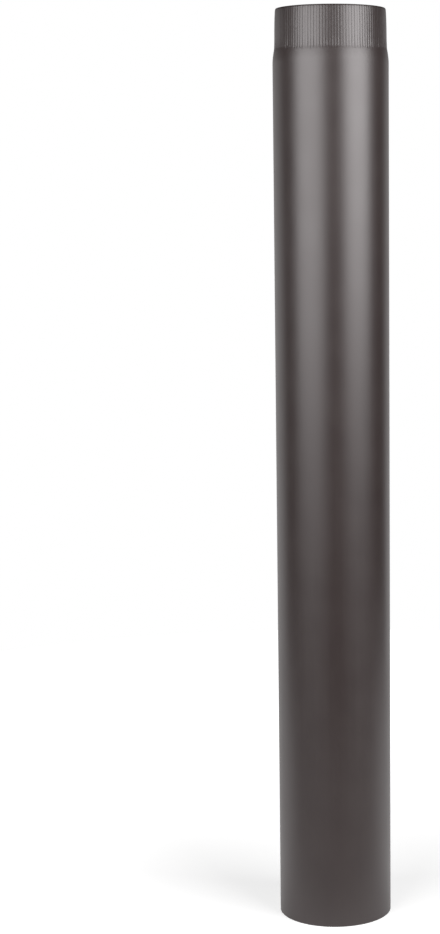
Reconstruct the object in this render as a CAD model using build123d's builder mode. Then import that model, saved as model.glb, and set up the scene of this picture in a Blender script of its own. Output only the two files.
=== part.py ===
from build123d import *
import os
from math import pi, sqrt

# A single-wall stove pipe: one sheet of steel rolled round, welded along its back, with its upper
# end drawn in and crimped so that it slips into the plain lower end of the next pipe.
# The axis is Z, the plain end stands on the XY plane, and the seam faces +Y.

# Driving dimensions, in millimetres
body_diameter = 152.4  # outside the plain body
overall_length = 1219.2  # plain edge to crimped edge
sheet_thickness = 0.6
collar_step = 2.25  # from the body's surface in to the crests at the foot of the crimps
collar_taper = 1.25  # how much further in the crests lie at the crimped edge
crimp_length = 51.0  # crimped edge down to where the crimps begin to fade
crimp_runout = 5.0  # stretch over which the crimps fade away
crimp_pitch = 4.1  # from crest to crest round the foot of the crimps
crimp_depth = 0.32  # crest to valley
neck_step = 1.4  # from the body's surface in to the plain neck below the crimps
shoulder_length = 14.5  # rounded swell from the neck out to the body
neck_slope = 0.16  # how steeply the neck opens into the shoulder, radius for height
seam_width = 3.0  # welded bead down the back
seam_height = 0.3  # how far the bead stands proud of the body

# Sizes that follow from these
body_radius = body_diameter / 2
neck_radius = body_radius - neck_step
foot_radius = body_radius - collar_step
edge_radius = foot_radius - collar_taper
foot_height = overall_length - crimp_length
neck_height = foot_height - crimp_runout
body_height = neck_height - shoulder_length
crimp_count = round(2 * pi * foot_radius / crimp_pitch)
crimp_angle = 360 / crimp_count
seam_edge = sqrt(body_radius**2 - (seam_width / 2) ** 2)
seam_root = body_radius - sheet_thickness / 2

# A quartic curve whose middle control point is moved by this many depths reaches one depth there
valley_pull = 16 / 6


def around(radius, angle):
    return Vector(radius, 0).rotate(Axis.Z, angle)


def plain_arc(radius):
    return CenterArc((0, 0), radius, 0, crimp_angle)


def crimp_wave(crest_radius):
    # One crimp seen from above, crest to crest through a rounded valley
    return Bezier(
        around(crest_radius, 0),
        around(crest_radius, crimp_angle / 4),
        around(crest_radius - valley_pull * crimp_depth, crimp_angle / 2),
        around(crest_radius, crimp_angle * 3 / 4),
        around(crest_radius, crimp_angle),
    )


def wall_line(inset):
    # The body and its shoulder in half section, from the plain edge up to the neck
    body = Line((body_radius - inset, 0), (body_radius - inset, body_height))
    shoulder = Spline(
        body @ 1,
        (neck_radius - inset, neck_height),
        tangents=[(0, 1), (-neck_slope, 1)],
    )
    return body, shoulder


# One crimp of the collar, with the same wave on both faces of the sheet, fading into the round neck
with BuildPart() as crimp:
    for height, radius, outline in (
        (neck_height, neck_radius, plain_arc),
        (foot_height, foot_radius, crimp_wave),
        (overall_length, edge_radius, crimp_wave),
    ):
        with BuildSketch(Plane.XY.offset(height)):
            with BuildLine():
                outside = outline(radius)
                inside = outline(radius - sheet_thickness)
                Line(outside @ 0, inside @ 0)
                Line(outside @ 1, inside @ 1)
            make_face()
    loft(ruled=True)

with BuildPart() as stove_pipe:
    with BuildSketch(Plane.XZ):
        with BuildLine():
            outer_body, outer_shoulder = wall_line(0)
            inner_body, inner_shoulder = wall_line(sheet_thickness)
            Line(outer_body @ 0, inner_body @ 0)
            Line(outer_shoulder @ 1, inner_shoulder @ 1)
        make_face()
    revolve(axis=Axis.Z)

    # The welded seam, which starts on the body's surface and is rooted half way into the sheet
    with BuildSketch():
        with BuildLine():
            bead = ThreePointArc(
                (-seam_width / 2, seam_edge),
                (0, body_radius + seam_height),
                (seam_width / 2, seam_edge),
            )
            Polyline(
                bead @ 1,
                (seam_width / 2, seam_root),
                (-seam_width / 2, seam_root),
                bead @ 0,
            )
        make_face()
    extrude(amount=body_height)

    with PolarLocations(0, crimp_count):
        add(crimp.part)

stove_pipe.part.label = "stove_pipe"
os.makedirs("parts", exist_ok=True)
export_step(stove_pipe.part, "parts/stove_pipe.step")
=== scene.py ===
import bpy
import math
import numpy as np
from mathutils import Matrix, Vector


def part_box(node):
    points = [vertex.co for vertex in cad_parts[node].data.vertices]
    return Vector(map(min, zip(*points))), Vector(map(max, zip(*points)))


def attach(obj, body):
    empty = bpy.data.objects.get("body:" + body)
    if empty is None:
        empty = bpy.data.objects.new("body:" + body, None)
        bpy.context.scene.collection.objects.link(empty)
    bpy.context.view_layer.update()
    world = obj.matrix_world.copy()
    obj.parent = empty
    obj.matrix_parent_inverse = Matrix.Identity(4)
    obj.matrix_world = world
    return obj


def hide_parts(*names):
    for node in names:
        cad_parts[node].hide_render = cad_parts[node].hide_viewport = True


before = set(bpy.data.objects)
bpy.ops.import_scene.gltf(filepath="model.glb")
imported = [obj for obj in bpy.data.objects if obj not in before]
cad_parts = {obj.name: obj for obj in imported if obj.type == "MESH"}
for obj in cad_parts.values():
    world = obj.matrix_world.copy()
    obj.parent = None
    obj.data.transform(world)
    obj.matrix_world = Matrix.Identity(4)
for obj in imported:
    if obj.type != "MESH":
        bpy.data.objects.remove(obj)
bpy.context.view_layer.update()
mm = 0.001
print("frame loaded:", sorted(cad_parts))


# Helpers

# Adds one node and fills its inputs: a link where the value is a socket, a plain value elsewhere
def addNode(tree, kind, inputs=None, **settings):
    node = tree.nodes.new(kind)
    for name, value in settings.items():
        setattr(node, name, value)
    for key, value in (inputs or {}).items():
        if isinstance(value, bpy.types.NodeSocket):
            tree.links.new(value, node.inputs[key])
        else:
            node.inputs[key].default_value = value
    return node


def maths(tree, operation, first, second=0.0):
    return addNode(tree, "ShaderNodeMath", {0: first, 1: second}, operation=operation).outputs[0]


# Noise whose lumps are about the given size
def noise(tree, place, size, detail, roughness=0.5):
    scale = maths(tree, "DIVIDE", 1.0, size)
    inputs = {"Vector": place, "Scale": scale, "Detail": detail, "Roughness": roughness}
    return addNode(tree, "ShaderNodeTexNoise", inputs).outputs["Fac"]


# Remaps a value from one span to another, with an eased slope at both ends
def eased(tree, value, fromLow, fromHigh, toLow=0.0, toHigh=1.0):
    inputs = {"Value": value, "From Min": fromLow, "From Max": fromHigh, "To Min": toLow, "To Max": toHigh}
    return addNode(tree, "ShaderNodeMapRange", inputs, interpolation_type="SMOOTHSTEP").outputs["Result"]


def newGroup(name, inputs, outputs):
    group = bpy.data.node_groups.new(name, "ShaderNodeTree")
    for label, kind, default in inputs:
        socket = group.interface.new_socket(label, in_out="INPUT", socket_type=kind)
        if default is not None:
            socket.default_value = default
    for label, kind in outputs:
        group.interface.new_socket(label, in_out="OUTPUT", socket_type=kind)
    return group, group.nodes.new("NodeGroupInput").outputs, group.nodes.new("NodeGroupOutput")


def placeGroup(tree, group, inputs):
    return addNode(tree, "ShaderNodeGroup", inputs, node_tree=group).outputs


def newMaterial(name):
    material = bpy.data.materials.new(name)
    material.use_nodes = True
    return material, material.node_tree, material.node_tree.nodes["Principled BSDF"]


def addObject(name, data):
    added = bpy.data.objects.new(name, data)
    bpy.context.scene.collection.objects.link(added)
    return added


# Paint effects that more than one material uses

# Dried spray: fine grains on slow ripples of the wet film, as one height, and a slow patchy tone
def makeSprayGroup():
    group, given, out = newGroup(
        "driedSpray",
        [("Place", "NodeSocketVector", None), ("Grain Size", "NodeSocketFloat", 0.0005),
         ("Ripple Size", "NodeSocketFloat", 0.003), ("Patch Size", "NodeSocketFloat", 0.05)],
        [("Height", "NodeSocketFloat"), ("Patches", "NodeSocketFloat")],
    )
    grainHeight = 0.35  # beside the ripples
    place = given["Place"]
    grain = maths(group, "MULTIPLY", noise(group, place, given["Grain Size"], detail=2.0), grainHeight)
    ripples = noise(group, place, given["Ripple Size"], detail=1.0, roughness=0.4)
    patches = noise(group, place, given["Patch Size"], detail=3.0, roughness=0.55)
    group.links.new(maths(group, "ADD", grain, ripples), out.inputs["Height"])
    group.links.new(patches, out.inputs["Patches"])
    return group


# Marks left along the pipe when the sheet was rolled: noise drawn out along Z
def makeStreakGroup():
    group, given, out = newGroup(
        "rollingStreaks",
        [("Place", "NodeSocketVector", None), ("Width", "NodeSocketFloat", 0.004),
         ("Stretch", "NodeSocketFloat", 60.0)],
        [("Streaks", "NodeSocketFloat")],
    )
    scale = addNode(
        group, "ShaderNodeCombineXYZ",
        {"X": 1.0, "Y": 1.0, "Z": maths(group, "DIVIDE", 1.0, given["Stretch"])},
    ).outputs[0]
    drawn = addNode(
        group, "ShaderNodeVectorMath", {0: given["Place"], 1: scale}, operation="MULTIPLY"
    ).outputs["Vector"]
    streaks = noise(group, drawn, given["Width"], detail=3.0, roughness=0.6)
    group.links.new(streaks, out.inputs["Streaks"])
    return group


# Rubbed paint: the mesh's own rub value, broken up by noise so that it comes in flecks
def makeRubGroup():
    group, given, out = newGroup(
        "rubbedEdges",
        [("Place", "NodeSocketVector", None), ("Rub", "NodeSocketFloat", 0.0),
         ("Fleck Size", "NodeSocketFloat", 0.002), ("Amount", "NodeSocketFloat", 0.5)],
        [("Mask", "NodeSocketFloat")],
    )
    begun, full = 0.42, 0.68  # noise at which a fleck begins, and at which it is full
    specks = noise(group, given["Place"], given["Fleck Size"], detail=4.0, roughness=0.65)
    flecks = eased(group, specks, begun, full)
    mask = maths(group, "MULTIPLY", maths(group, "MULTIPLY", flecks, given["Rub"]), given["Amount"])
    group.links.new(mask, out.inputs["Mask"])
    return group


driedSpray = makeSprayGroup()
rollingStreaks = makeStreakGroup()
rubbedEdges = makeRubGroup()
print("paint effects ready")


# Materials of the pipe

outsideLook = {
    "colour": (0.0262, 0.0143, 0.0130),  # warm, brownish black
    "fadedColour": (0.0316, 0.0188, 0.0170),
    "rubbedColour": (0.045, 0.036, 0.034),
    "roughness": 0.41,
    "roughnessSpread": 0.012,
    "rubbedRoughness": 0.33,
    "grooveShadeColour": (0.0180, 0.0105, 0.0095),  # painted shade in the grooves, whose paint nothing rubs
    "valleyRoughness": 0.54,
    "ior": 1.95,
    "sheen": (1.0, 0.972, 0.982),  # tint of the reflections
    "grainSize": 0.45 * mm,
    "rippleSize": 2.6 * mm,
    "patchSize": 55 * mm,
    "bumpHeight": 0.012 * mm,
    "streakWidth": 3.5 * mm,
    "streakStretch": 70,
    "streakShare": 0.35,  # how much of the paint's tone the streaks make
    "fleckSize": 1.4 * mm,
    "rubAmount": 0.6,
    "weldPitch": 1.3 * mm,  # ripples along the welded bead
    "weldHeight": 0.045 * mm,
    "weldBow": 0.8 * mm,  # how far a ripple hangs in the middle of the bead
    "weldWander": 7 * mm,  # stretch over which their spacing and strength change
    "weldShift": 2,  # how many ripples that moves them by, at most
    "weldWeakest": 0.6,  # share of their height that it leaves
    "weldPressed": 0.4,  # share of their height that is left in the pressed collar
}

insideLook = {
    "colour": (0.0200, 0.0175, 0.0170),
    "fadedColour": (0.0300, 0.0275, 0.0270),
    "rubbedColour": (0.058, 0.054, 0.052),
    "roughness": 0.55,
    "roughnessSpread": 0.10,
    "rubbedRoughness": 0.40,
    "ior": 1.6,
    "sheen": (1.0, 1.0, 1.0),
    "grainSize": 0.6 * mm,
    "rippleSize": 4 * mm,
    "patchSize": 35 * mm,
    "bumpHeight": 0.02 * mm,
    "streakWidth": 3 * mm,
    "streakStretch": 50,
    "streakShare": 0.5,
    "fleckSize": 2 * mm,
    "rubAmount": 0.25,
}


# Ripples of the weld: a sine along Z that hangs in a parabola across the bead. Noise moves it along and
# weakens it here and there. It is kept to the bead's width at the back of the pipe.
def weldRipples(tree, place, look, pipe):
    axes = addNode(tree, "ShaderNodeSeparateXYZ", {"Vector": place}).outputs
    wander = noise(tree, place, look["weldWander"], detail=1.0)
    strong, weak = 0.35, 0.6  # noise at which the ripples are highest, and at which they are lowest
    offSeam = maths(tree, "DIVIDE", maths(tree, "ABSOLUTE", axes["X"]), 0.5 * pipe["seamWidth"])
    bow = maths(tree, "MULTIPLY", maths(tree, "POWER", offSeam, 2.0), look["weldBow"])
    shift = maths(tree, "MULTIPLY", wander, look["weldShift"] * look["weldPitch"])
    along = maths(tree, "ADD", maths(tree, "SUBTRACT", axes["Z"], bow), shift)
    ripples = maths(tree, "SINE", maths(tree, "MULTIPLY", along, 2 * math.pi / look["weldPitch"]))
    bodyTop, neck = (pipe["length"] - pipe[name][0] for name in ("body", "neck"))
    for share in (
        eased(tree, wander, strong, weak, 1.0, look["weldWeakest"]),
        eased(tree, axes["Z"], bodyTop, neck, 1.0, look["weldPressed"]),
        eased(tree, offSeam, 0.5, 1.0, 1.0, 0.0),  # fades from half way out to the bead's side
        maths(tree, "GREATER_THAN", axes["Y"], 0.0),
    ):
        ripples = maths(tree, "MULTIPLY", ripples, share)
    return ripples


def makePaint(name, look, weldedPipe=None):
    material, tree, shader = newMaterial(name)
    place = addNode(tree, "ShaderNodeTexCoord").outputs["Object"]
    rubValue = addNode(tree, "ShaderNodeAttribute", attribute_name="rub").outputs["Fac"]

    spray = placeGroup(tree, driedSpray, {
        "Place": place, "Grain Size": look["grainSize"],
        "Ripple Size": look["rippleSize"], "Patch Size": look["patchSize"],
    })
    streaks = placeGroup(tree, rollingStreaks, {
        "Place": place, "Width": look["streakWidth"], "Stretch": look["streakStretch"],
    })["Streaks"]
    rubbed = placeGroup(tree, rubbedEdges, {
        "Place": place, "Rub": rubValue, "Fleck Size": look["fleckSize"], "Amount": look["rubAmount"],
    })["Mask"]

    # Patches and streaks make one tone from 0 to 1
    share = look["streakShare"]
    low, high = 0.3, 0.7  # their noise is spread from this span
    tone = maths(
        tree, "ADD",
        maths(tree, "MULTIPLY", eased(tree, spray["Patches"], low, high), 1 - share),
        maths(tree, "MULTIPLY", eased(tree, streaks, low, high), share),
    )

    # A Mix node's colours are its inputs 6 and 7 and its output 2
    def mixColours(factor, first, second):
        node = addNode(tree, "ShaderNodeMix", {"Factor": factor}, data_type="RGBA")
        for socket, value in ((node.inputs[6], first), (node.inputs[7], second)):
            if isinstance(value, bpy.types.NodeSocket):
                tree.links.new(value, socket)
            else:
                socket.default_value = (*value, 1)
        return node.outputs[2]

    def mixValues(factor, first, second):
        inputs = {"Factor": factor, "A": first, "B": second}
        return addNode(tree, "ShaderNodeMix", inputs, data_type="FLOAT").outputs["Result"]

    painted = mixColours(tone, look["colour"], look["fadedColour"])
    spread = look["roughnessSpread"]
    satin = eased(tree, tone, 0.0, 1.0, look["roughness"] - spread, look["roughness"] + spread)
    # The valley mark darkens the grooves' colour as painted shade, and makes the paint there rougher
    if "grooveShadeColour" in look:
        valley = addNode(tree, "ShaderNodeAttribute", attribute_name="valley").outputs["Fac"]
        painted = mixColours(valley, painted, look["grooveShadeColour"])
        satin = mixValues(valley, satin, look["valleyRoughness"])
    colour = mixColours(rubbed, painted, look["rubbedColour"])
    roughness = mixValues(rubbed, satin, look["rubbedRoughness"])
    height = maths(tree, "MULTIPLY", spray["Height"], look["bumpHeight"])
    if weldedPipe:
        ripples = maths(tree, "MULTIPLY", weldRipples(tree, place, look, weldedPipe), look["weldHeight"])
        height = maths(tree, "ADD", height, ripples)
    bump = addNode(tree, "ShaderNodeBump", {"Height": height, "Strength": 1.0, "Distance": 1.0})

    tree.links.new(colour, shader.inputs["Base Color"])
    tree.links.new(roughness, shader.inputs["Roughness"])
    tree.links.new(bump.outputs["Normal"], shader.inputs["Normal"])
    shader.inputs["IOR"].default_value = look["ior"]
    shader.inputs["Specular Tint"].default_value = (*look["sheen"], 1)
    return material


# The pipe

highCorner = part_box("stove_pipe")[1]
pipeLook = {
    "radius": highCorner.x,  # outside the plain body
    "length": highCorner.z,  # plain edge to crimped edge
    "sheet": 0.6 * mm,
    # Stations down the wall: distance below the crimped edge, step in from the body, slope
    "rim": (0 * mm, 3.86 * mm, 0.075),
    "waist": (35 * mm, 2.72 * mm, 0.004),
    "foot": (50.3 * mm, 2.30 * mm, 0.045),
    "neck": (56.2 * mm, 1.40 * mm, 0.150),
    "body": (70.5 * mm, 0 * mm, 0.0),
    "lipCurl": 0.60 * mm,  # the edge's last turn inwards
    "lipHeight": 2.6 * mm,
    "crimpPitch": 4.1 * mm,  # measured round the foot
    "crimpDepth": 0.13 * mm,  # at the edge
    "footDepth": 0.22 * mm,  # where the grooves are deepest, at the foot
    "crimpSharp": 8,  # how narrow the grooves are beside the lands between them
    "crimpUneven": 0.6,  # share by which one crimp's depth differs from the next
    "crimpLate": 1.2 * mm,  # how far one crimp ends below or above the next
    "seamWidth": 3.0 * mm,
    "seamHeight": 0.3 * mm,
    "seamFade": 6 * mm,  # stretch over which the bead sinks at its upper end
    "edgeRound": 0.16 * mm,  # rounding that the paint gives the sheared edges
    "landRub": 0.7,  # rubbing of the collar beside that of the edges
    # Rows of the body, shoulder, run-out, collar and lip, outside and inside, and of each rounded corner
    "outsideRows": (10, 12, 11, 12, 5),
    "insideRows": (4, 8, 8, 6, 4),
    "cornerRows": 4,
    "columnsPerCrimp": 8,
    "columnBunching": 2.0,  # how much closer the columns stand in the grooves
    "seed": 4,
}


# Cubic from 0 to 1 with given values and slopes at its ends
def hermite(s, start, startSlope, end, endSlope):
    return (
        start * (2 * s**3 - 3 * s**2 + 1)
        + startSlope * (s**3 - 2 * s**2 + s)
        + end * (3 * s**2 - 2 * s**3)
        + endSlope * (s**3 - s**2)
    )


def smoothstep(t):
    t = np.clip(t, 0, 1)
    return t * t * (3 - 2 * t)


# Crest radius of the outer face, by distance below the crimped edge: cubics from station to station,
# and a lip that turns in by the square of the distance left to the edge
def crestRadius(drop, look):
    stations = [look[name] for name in ("rim", "waist", "foot", "neck", "body")]
    step = np.zeros_like(drop)
    for (top, topStep, topSlope), (low, lowStep, lowSlope) in zip(stations, stations[1:]):
        s = np.clip((drop - top) / (low - top), 0, 1)
        curve = hermite(s, topStep, -topSlope * (low - top), lowStep, -lowSlope * (low - top))
        step = np.where((drop >= top) & (drop < low), curve, step)
    lip = look["lipCurl"] * np.clip(1 - drop / look["lipHeight"], 0, 1) ** 2
    return look["radius"] - step - lip


# Depth of the crimps' grooves, by distance below the edge: it grows towards the foot, where the wall
# opens out over grooves that don't, and then runs out to nothing at the neck
def grooveDepth(drop, look):
    waist, foot, neck = (look[name][0] for name in ("waist", "foot", "neck"))
    grown = smoothstep((drop - waist) / (foot - waist))
    depth = look["crimpDepth"] + (look["footDepth"] - look["crimpDepth"]) * grown
    return depth * (1 - smoothstep((drop - foot) / (neck - foot)))


# Heights of the rows up the wall: even steps in each stretch, closer together where the wall bends
def wallHeights(look, bodyRows, shoulderRows, runoutRows, collarRows, lipRows):
    foot, neck, body = (look["length"] - look[name][0] for name in ("foot", "neck", "body"))
    low, high = look["edgeRound"], look["length"] - look["edgeRound"]
    lip = look["length"] - look["lipHeight"]
    stretches = [
        np.linspace(low, body, bodyRows, endpoint=False),
        np.linspace(body, neck, shoulderRows, endpoint=False),
        np.linspace(neck, foot, runoutRows, endpoint=False),
        np.linspace(foot, lip, collarRows, endpoint=False),
        np.linspace(lip, high, lipRows),
    ]
    return np.concatenate(stretches)


# The closed section as two arrays, height and depth into the sheet from the outer face. It runs up
# outside, over the crimped edge, down inside and round the plain edge, with a quarter circle at
# each of the four corners.
def pipeSection(look):
    sheet, bend = look["sheet"], look["edgeRound"]
    turn = np.linspace(0, math.pi / 2, look["cornerRows"])
    outside = wallHeights(look, *look["outsideRows"])
    inside = wallHeights(look, *look["insideRows"])[::-1]
    top = look["length"] - bend
    corners = {
        "topOut": (top + bend * np.sin(turn), bend * (1 - np.cos(turn))),
        "topIn": (top + bend * np.cos(turn), sheet - bend * (1 - np.sin(turn))),
        "lowIn": (bend - bend * np.sin(turn), sheet - bend * (1 - np.cos(turn))),
        "lowOut": (bend - bend * np.cos(turn), bend * (1 - np.sin(turn))),
    }
    heights = [
        outside, corners["topOut"][0][1:], corners["topIn"][0],
        inside[1:], corners["lowIn"][0][1:], corners["lowOut"][0][:-1],
    ]
    depths = [
        np.zeros(len(outside)), corners["topOut"][1][1:], corners["topIn"][1],
        np.full(len(inside) - 1, sheet), corners["lowIn"][1][1:], corners["lowOut"][1][:-1],
    ]
    return np.concatenate(heights), np.concatenate(depths)


# Radius = crest radius - depth in the sheet - groove depth * groove shape + bead.
# The groove of each crimp is a power of 16 s^2 (1 - s)^2 with s from land to land, and the bead a
# parabola. Columns bunch in the grooves: their distance from the groove is a power of an even step.
# Rub is 1 on the rounded edges, and a share of (1 - groove)^3 on the collar. Valley is 1 in deep grooves,
# where the paint gets painted shade and more roughness.
def pipeSurface(look):
    height, depth = pipeSection(look)
    drop = look["length"] - height
    crimps = round(2 * math.pi * (look["radius"] - look["foot"][1]) / look["crimpPitch"])
    even = np.linspace(-1, 1, look["columnsPerCrimp"], endpoint=False)
    s = np.tile(0.5 + 0.5 * np.sign(even) * np.abs(even) ** look["columnBunching"], crimps)
    crimp = np.repeat(np.arange(crimps), look["columnsPerCrimp"])
    angle = 2 * math.pi * (crimp + s) / crimps
    rng = np.random.default_rng(look["seed"])
    uneven = 1 + look["crimpUneven"] * rng.uniform(-1, 1, crimps)
    late = look["crimpLate"] * rng.uniform(-1, 1, crimps)

    groove = (16 * s**2 * (1 - s) ** 2) ** look["crimpSharp"]
    deep = grooveDepth(drop[:, None] + late[crimp][None, :], look) * uneven[crimp][None, :]

    across = look["radius"] * (angle - math.pi / 2)
    bead = look["seamHeight"] * np.clip(1 - (2 * across / look["seamWidth"]) ** 2, 0, 1)
    beadRow = smoothstep((drop - look["body"][0]) / look["seamFade"]) * (depth < look["sheet"] / 2)

    radius = crestRadius(drop, look)[:, None] - depth[:, None]
    radius = radius - deep * groove[None, :] + beadRow[:, None] * bead[None, :]
    points = np.stack(
        [
            radius * np.cos(angle)[None, :],
            radius * np.sin(angle)[None, :],
            np.repeat(height[:, None], len(angle), axis=1),
        ],
        axis=2,
    )
    onEdge = (depth > 0) & (depth < look["sheet"])
    onLand = (drop < look["foot"][0])[:, None] * (1 - groove)[None, :] ** 3
    rub = np.maximum(look["landRub"] * onLand, onEdge[:, None])
    valley = np.clip(deep / look["crimpDepth"], 0, 1) * groove[None, :] * (depth == 0)[:, None]
    return points, depth, {"rub": rub, "valley": valley}


# The wall unrolled on the unit square: across by columns, and up by the cube roots of the rows' widths, so
# that the thin rows at the edges keep some room on it
def unrolledWall(points):
    rows, columns = points.shape[:2]
    width = np.linalg.norm(np.roll(points[:, 0], -1, axis=0) - points[:, 0], axis=1)
    up = np.concatenate([[0], np.cumsum(np.cbrt(width))])
    row, column = np.meshgrid(np.arange(rows), np.arange(columns), indexing="ij")
    across = np.stack([column, column + 1, column + 1, column], axis=2) / columns
    upward = np.stack([up[row], up[row], up[row + 1], up[row + 1]], axis=2) / up[-1]
    return np.stack([across, upward], axis=3)


# Grid closed both ways: row i, column j joins the next row and the next column
def closedGrid(name, points, values, materials, rowMaterial):
    rows, columns = points.shape[:2]
    row, column = np.meshgrid(np.arange(rows), np.arange(columns), indexing="ij")
    nextRow, nextColumn = (row + 1) % rows, (column + 1) % columns
    corners = np.stack(
        [
            row * columns + column,
            row * columns + nextColumn,
            nextRow * columns + nextColumn,
            nextRow * columns + column,
        ],
        axis=2,
    ).reshape(-1, 4)
    mesh = bpy.data.meshes.new(name)
    mesh.vertices.add(rows * columns)
    mesh.vertices.foreach_set("co", points.astype(np.float32).ravel())
    mesh.loops.add(corners.size)
    mesh.loops.foreach_set("vertex_index", corners.astype(np.int32).ravel())
    mesh.polygons.add(len(corners))
    mesh.polygons.foreach_set("loop_start", np.arange(0, corners.size, 4, dtype=np.int32))
    mesh.polygons.foreach_set("use_smooth", np.ones(len(corners), dtype=bool))
    for material in materials:
        mesh.materials.append(material)
    mesh.polygons.foreach_set("material_index", np.repeat(rowMaterial, columns).astype(np.int32))
    bakeMap = mesh.uv_layers.new(name="OFBake")  # for paint that is baked to a picture
    bakeMap.data.foreach_set("uv", unrolledWall(points).astype(np.float32).ravel())
    for label, value in values.items():
        layer = mesh.attributes.new(label, "FLOAT", "POINT")
        layer.data.foreach_set("value", value.astype(np.float32).ravel())
    mesh.update(calc_edges=True)
    mesh.validate()
    return addObject(name, mesh)


points, depth, values = pipeSurface(pipeLook)
satinBlackPaint = makePaint("satinBlackPaint", outsideLook, pipeLook)
insidePaint = makePaint("insidePaint", insideLook)
rowMaterial = np.isclose(depth, pipeLook["sheet"]).astype(int)  # 0 outside and on the edges, 1 inside
pipe = closedGrid("dressed_stove_pipe", points, values, [satinBlackPaint, insidePaint], rowMaterial)
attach(pipe, "root")
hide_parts("stove_pipe")
print("pipe:", len(pipe.data.polygons), "faces")


# Floor

floorLook = {
    "middle": (0, 0.45, 0),  # a round of white paper, past which the white studio shows
    "radius": 1.35,
    "corners": 128,
    "colour": 0.54,  # for the light that it passes on
    "shownColour": 0.80,  # for the camera
    "nearGlow": 0.59,  # what the camera sees on top of the lit paper, in the shadow's heart
    "farGlow": 1.0,  # and far from it
    "shadowHeart": (0, 0.10, 0),
    "glowSpan": (0.10, 0.85),  # distances from there between which the glow grows
    "mirrorGlow": 0.65,  # what reflections see on top of the lit paper behind the pipe
    "frontFade": (-0.25, 0.15),  # span of Y over which they gain that glow
}


# A disc: its middle, and corners at even angles round it
def makeFloor(look):
    angle = 2 * math.pi * np.arange(look["corners"]) / look["corners"]
    middle = np.array([look["middle"]])
    ring = middle + look["radius"] * np.stack([np.cos(angle), np.sin(angle), 0 * angle], axis=1)
    index = np.arange(look["corners"])
    faces = np.stack([0 * index, 1 + index, 1 + (index + 1) % look["corners"]], axis=1)
    mesh = bpy.data.meshes.new("floor")
    mesh.from_pydata(np.vstack([middle, ring]).tolist(), [], faces.tolist())
    mesh.materials.append(makeFloorPaper(look))
    addObject("floor", mesh)


# Paper with a glow of its own that only direct and glossy rays see, so that it is white but for the shadow
def makeFloorPaper(look):
    material, tree, shader = newMaterial("floorPaper")
    material.cycles.emission_sampling = "NONE"
    place = addNode(tree, "ShaderNodeTexCoord").outputs["Object"]
    away = addNode(
        tree, "ShaderNodeVectorMath", {0: place, 1: look["shadowHeart"]}, operation="DISTANCE"
    ).outputs["Value"]
    glow = eased(tree, away, *look["glowSpan"], look["nearGlow"], look["farGlow"])
    back = eased(tree, addNode(tree, "ShaderNodeSeparateXYZ", {0: place}).outputs["Y"], *look["frontFade"])
    path = addNode(tree, "ShaderNodeLightPath").outputs
    direct = maths(tree, "MAXIMUM", path["Is Camera Ray"], path["Is Transmission Ray"])
    mirrorGlow = maths(tree, "MULTIPLY", back, look["mirrorGlow"])
    shown = maths(tree, "MULTIPLY", direct, glow)
    mirrored = maths(tree, "MULTIPLY", path["Is Glossy Ray"], mirrorGlow)
    tree.links.new(maths(tree, "ADD", shown, mirrored), shader.inputs["Emission Strength"])
    tone = eased(tree, direct, 0.0, 1.0, look["colour"], look["shownColour"])
    tree.links.new(tone, shader.inputs["Base Color"])
    shader.inputs["Emission Color"].default_value = (1, 1, 1, 1)
    shader.inputs["Roughness"].default_value = 1.0
    shader.inputs["Specular IOR Level"].default_value = 0.0
    return material


makeFloor(floorLook)


# Camera at the photograph's place

cameraLook = {
    "distance": 2.644,  # in front of the pipe's axis
    "height": 0.970,
    "yaw": 0.03,  # turned to the left, in degrees
    "pitch": -7.627,
    "roll": -0.347,
    "focal": 1982.0,  # in pixels of the 440 x 934 frame
    "frameHeight": 934,
    "offCentre": 112,  # the picture's middle lies this many pixels to the left of the lens's axis
}


def makeCamera(look):
    yaw, pitch, roll = (math.radians(look[name]) for name in ("yaw", "pitch", "roll"))
    forward = Vector((-math.sin(yaw) * math.cos(pitch), math.cos(yaw) * math.cos(pitch), math.sin(pitch)))
    level = Vector((math.cos(yaw), math.sin(yaw), 0))
    upright = level.cross(forward)
    right = math.cos(roll) * level + math.sin(roll) * upright
    up = math.cos(roll) * upright - math.sin(roll) * level
    data = bpy.data.cameras.new("camera")
    data.sensor_width = 36  # millimetres, for the frame's longer side
    data.lens = look["focal"] / look["frameHeight"] * data.sensor_width
    data.shift_x = -look["offCentre"] / look["frameHeight"]
    camera = addObject("camera", data)
    camera.matrix_world = Matrix(
        (
            (right.x, up.x, -forward.x, 0),
            (right.y, up.y, -forward.y, -look["distance"]),
            (right.z, up.z, -forward.z, look["height"]),
            (0, 0, 0, 1),
        )
    )
    bpy.context.scene.camera = camera


makeCamera(cameraLook)


# Lights

softboxes = {
    "leftBox": {
        "place": (-1.506, -1.604, 1.38), "aim": (0, 0, 0.8),
        "width": 2.42, "height": 1.70, "power": 46.6,
    },
    "rightBox": {
        "place": (1.722, -1.369, 1.45), "aim": (0, 0, 0.8),
        "width": 2.15, "height": 1.53, "power": 52,
    },
}

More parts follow.
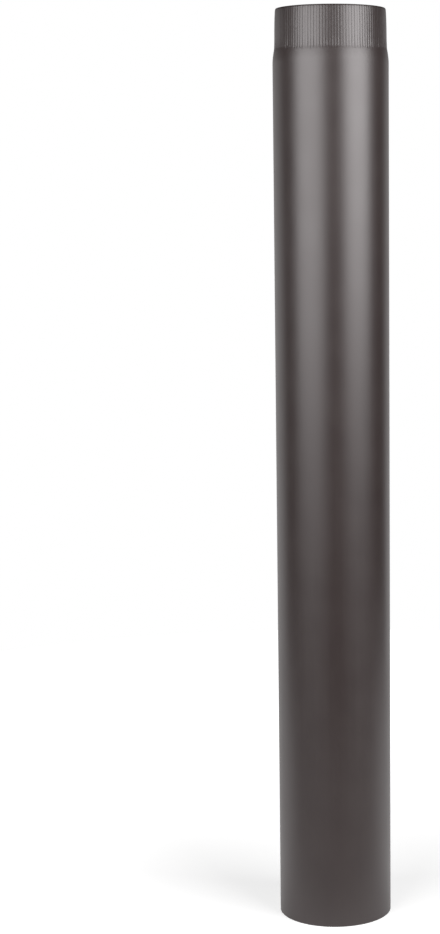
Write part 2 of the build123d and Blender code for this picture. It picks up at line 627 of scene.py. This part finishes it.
studioLook = {
    "backdrop": 0.88,  # brightness of the white wall behind the pipe
    "backdropTowards": (-0.15, 0.989, 0.0),
    "backdropEdge": (0.39, 0.62),  # cosines off that direction where the wall ends and is whole
    "backdropTop": (-0.05, 0.35),  # sines of the heights above the horizon between which it fades
    "roomLight": 0.01,  # brightness of all the rest
}


def makeSoftbox(name, look):
    data = bpy.data.lights.new(name, "AREA")
    data.shape = "RECTANGLE"
    data.size, data.size_y = look["width"], look["height"]
    data.energy = look["power"]
    box = addObject(name, data)
    box.location = look["place"]
    towards = Vector(look["aim"]) - Vector(look["place"])
    box.rotation_mode = "QUATERNION"
    box.rotation_quaternion = towards.to_track_quat("-Z", "Y")
    box.visible_camera = False


# White for the camera all round; for light and reflections a white wall at the back of a dim room
def makeStudio(look):
    world = bpy.data.worlds.new("studio")
    world.use_nodes = True
    tree = world.node_tree
    towards = addNode(tree, "ShaderNodeTexCoord").outputs["Generated"]
    cosine = addNode(
        tree, "ShaderNodeVectorMath", {0: towards, 1: look["backdropTowards"]}, operation="DOT_PRODUCT"
    ).outputs["Value"]
    height = addNode(tree, "ShaderNodeSeparateXYZ", {0: towards}).outputs["Z"]
    whole = maths(
        tree, "MULTIPLY",
        eased(tree, cosine, *look["backdropEdge"]),
        eased(tree, height, *look["backdropTop"], 1.0, 0.0),
    )
    wall = eased(tree, whole, 0.0, 1.0, look["roomLight"], look["backdrop"])
    path = addNode(tree, "ShaderNodeLightPath").outputs
    seen = maths(tree, "MAXIMUM", path["Is Camera Ray"], path["Is Transmission Ray"])
    strength = addNode(tree, "ShaderNodeMix", {"Factor": seen, "A": wall, "B": 1.0}, data_type="FLOAT")
    tree.links.new(strength.outputs["Result"], tree.nodes["Background"].inputs["Strength"])
    tree.nodes["Background"].inputs["Color"].default_value = (1, 1, 1, 1)
    bpy.context.scene.world = world


for name, look in softboxes.items():
    makeSoftbox(name, look)
makeStudio(studioLook)
bpy.context.scene.view_settings.view_transform = "Standard"
print("stage, camera and lights ready")
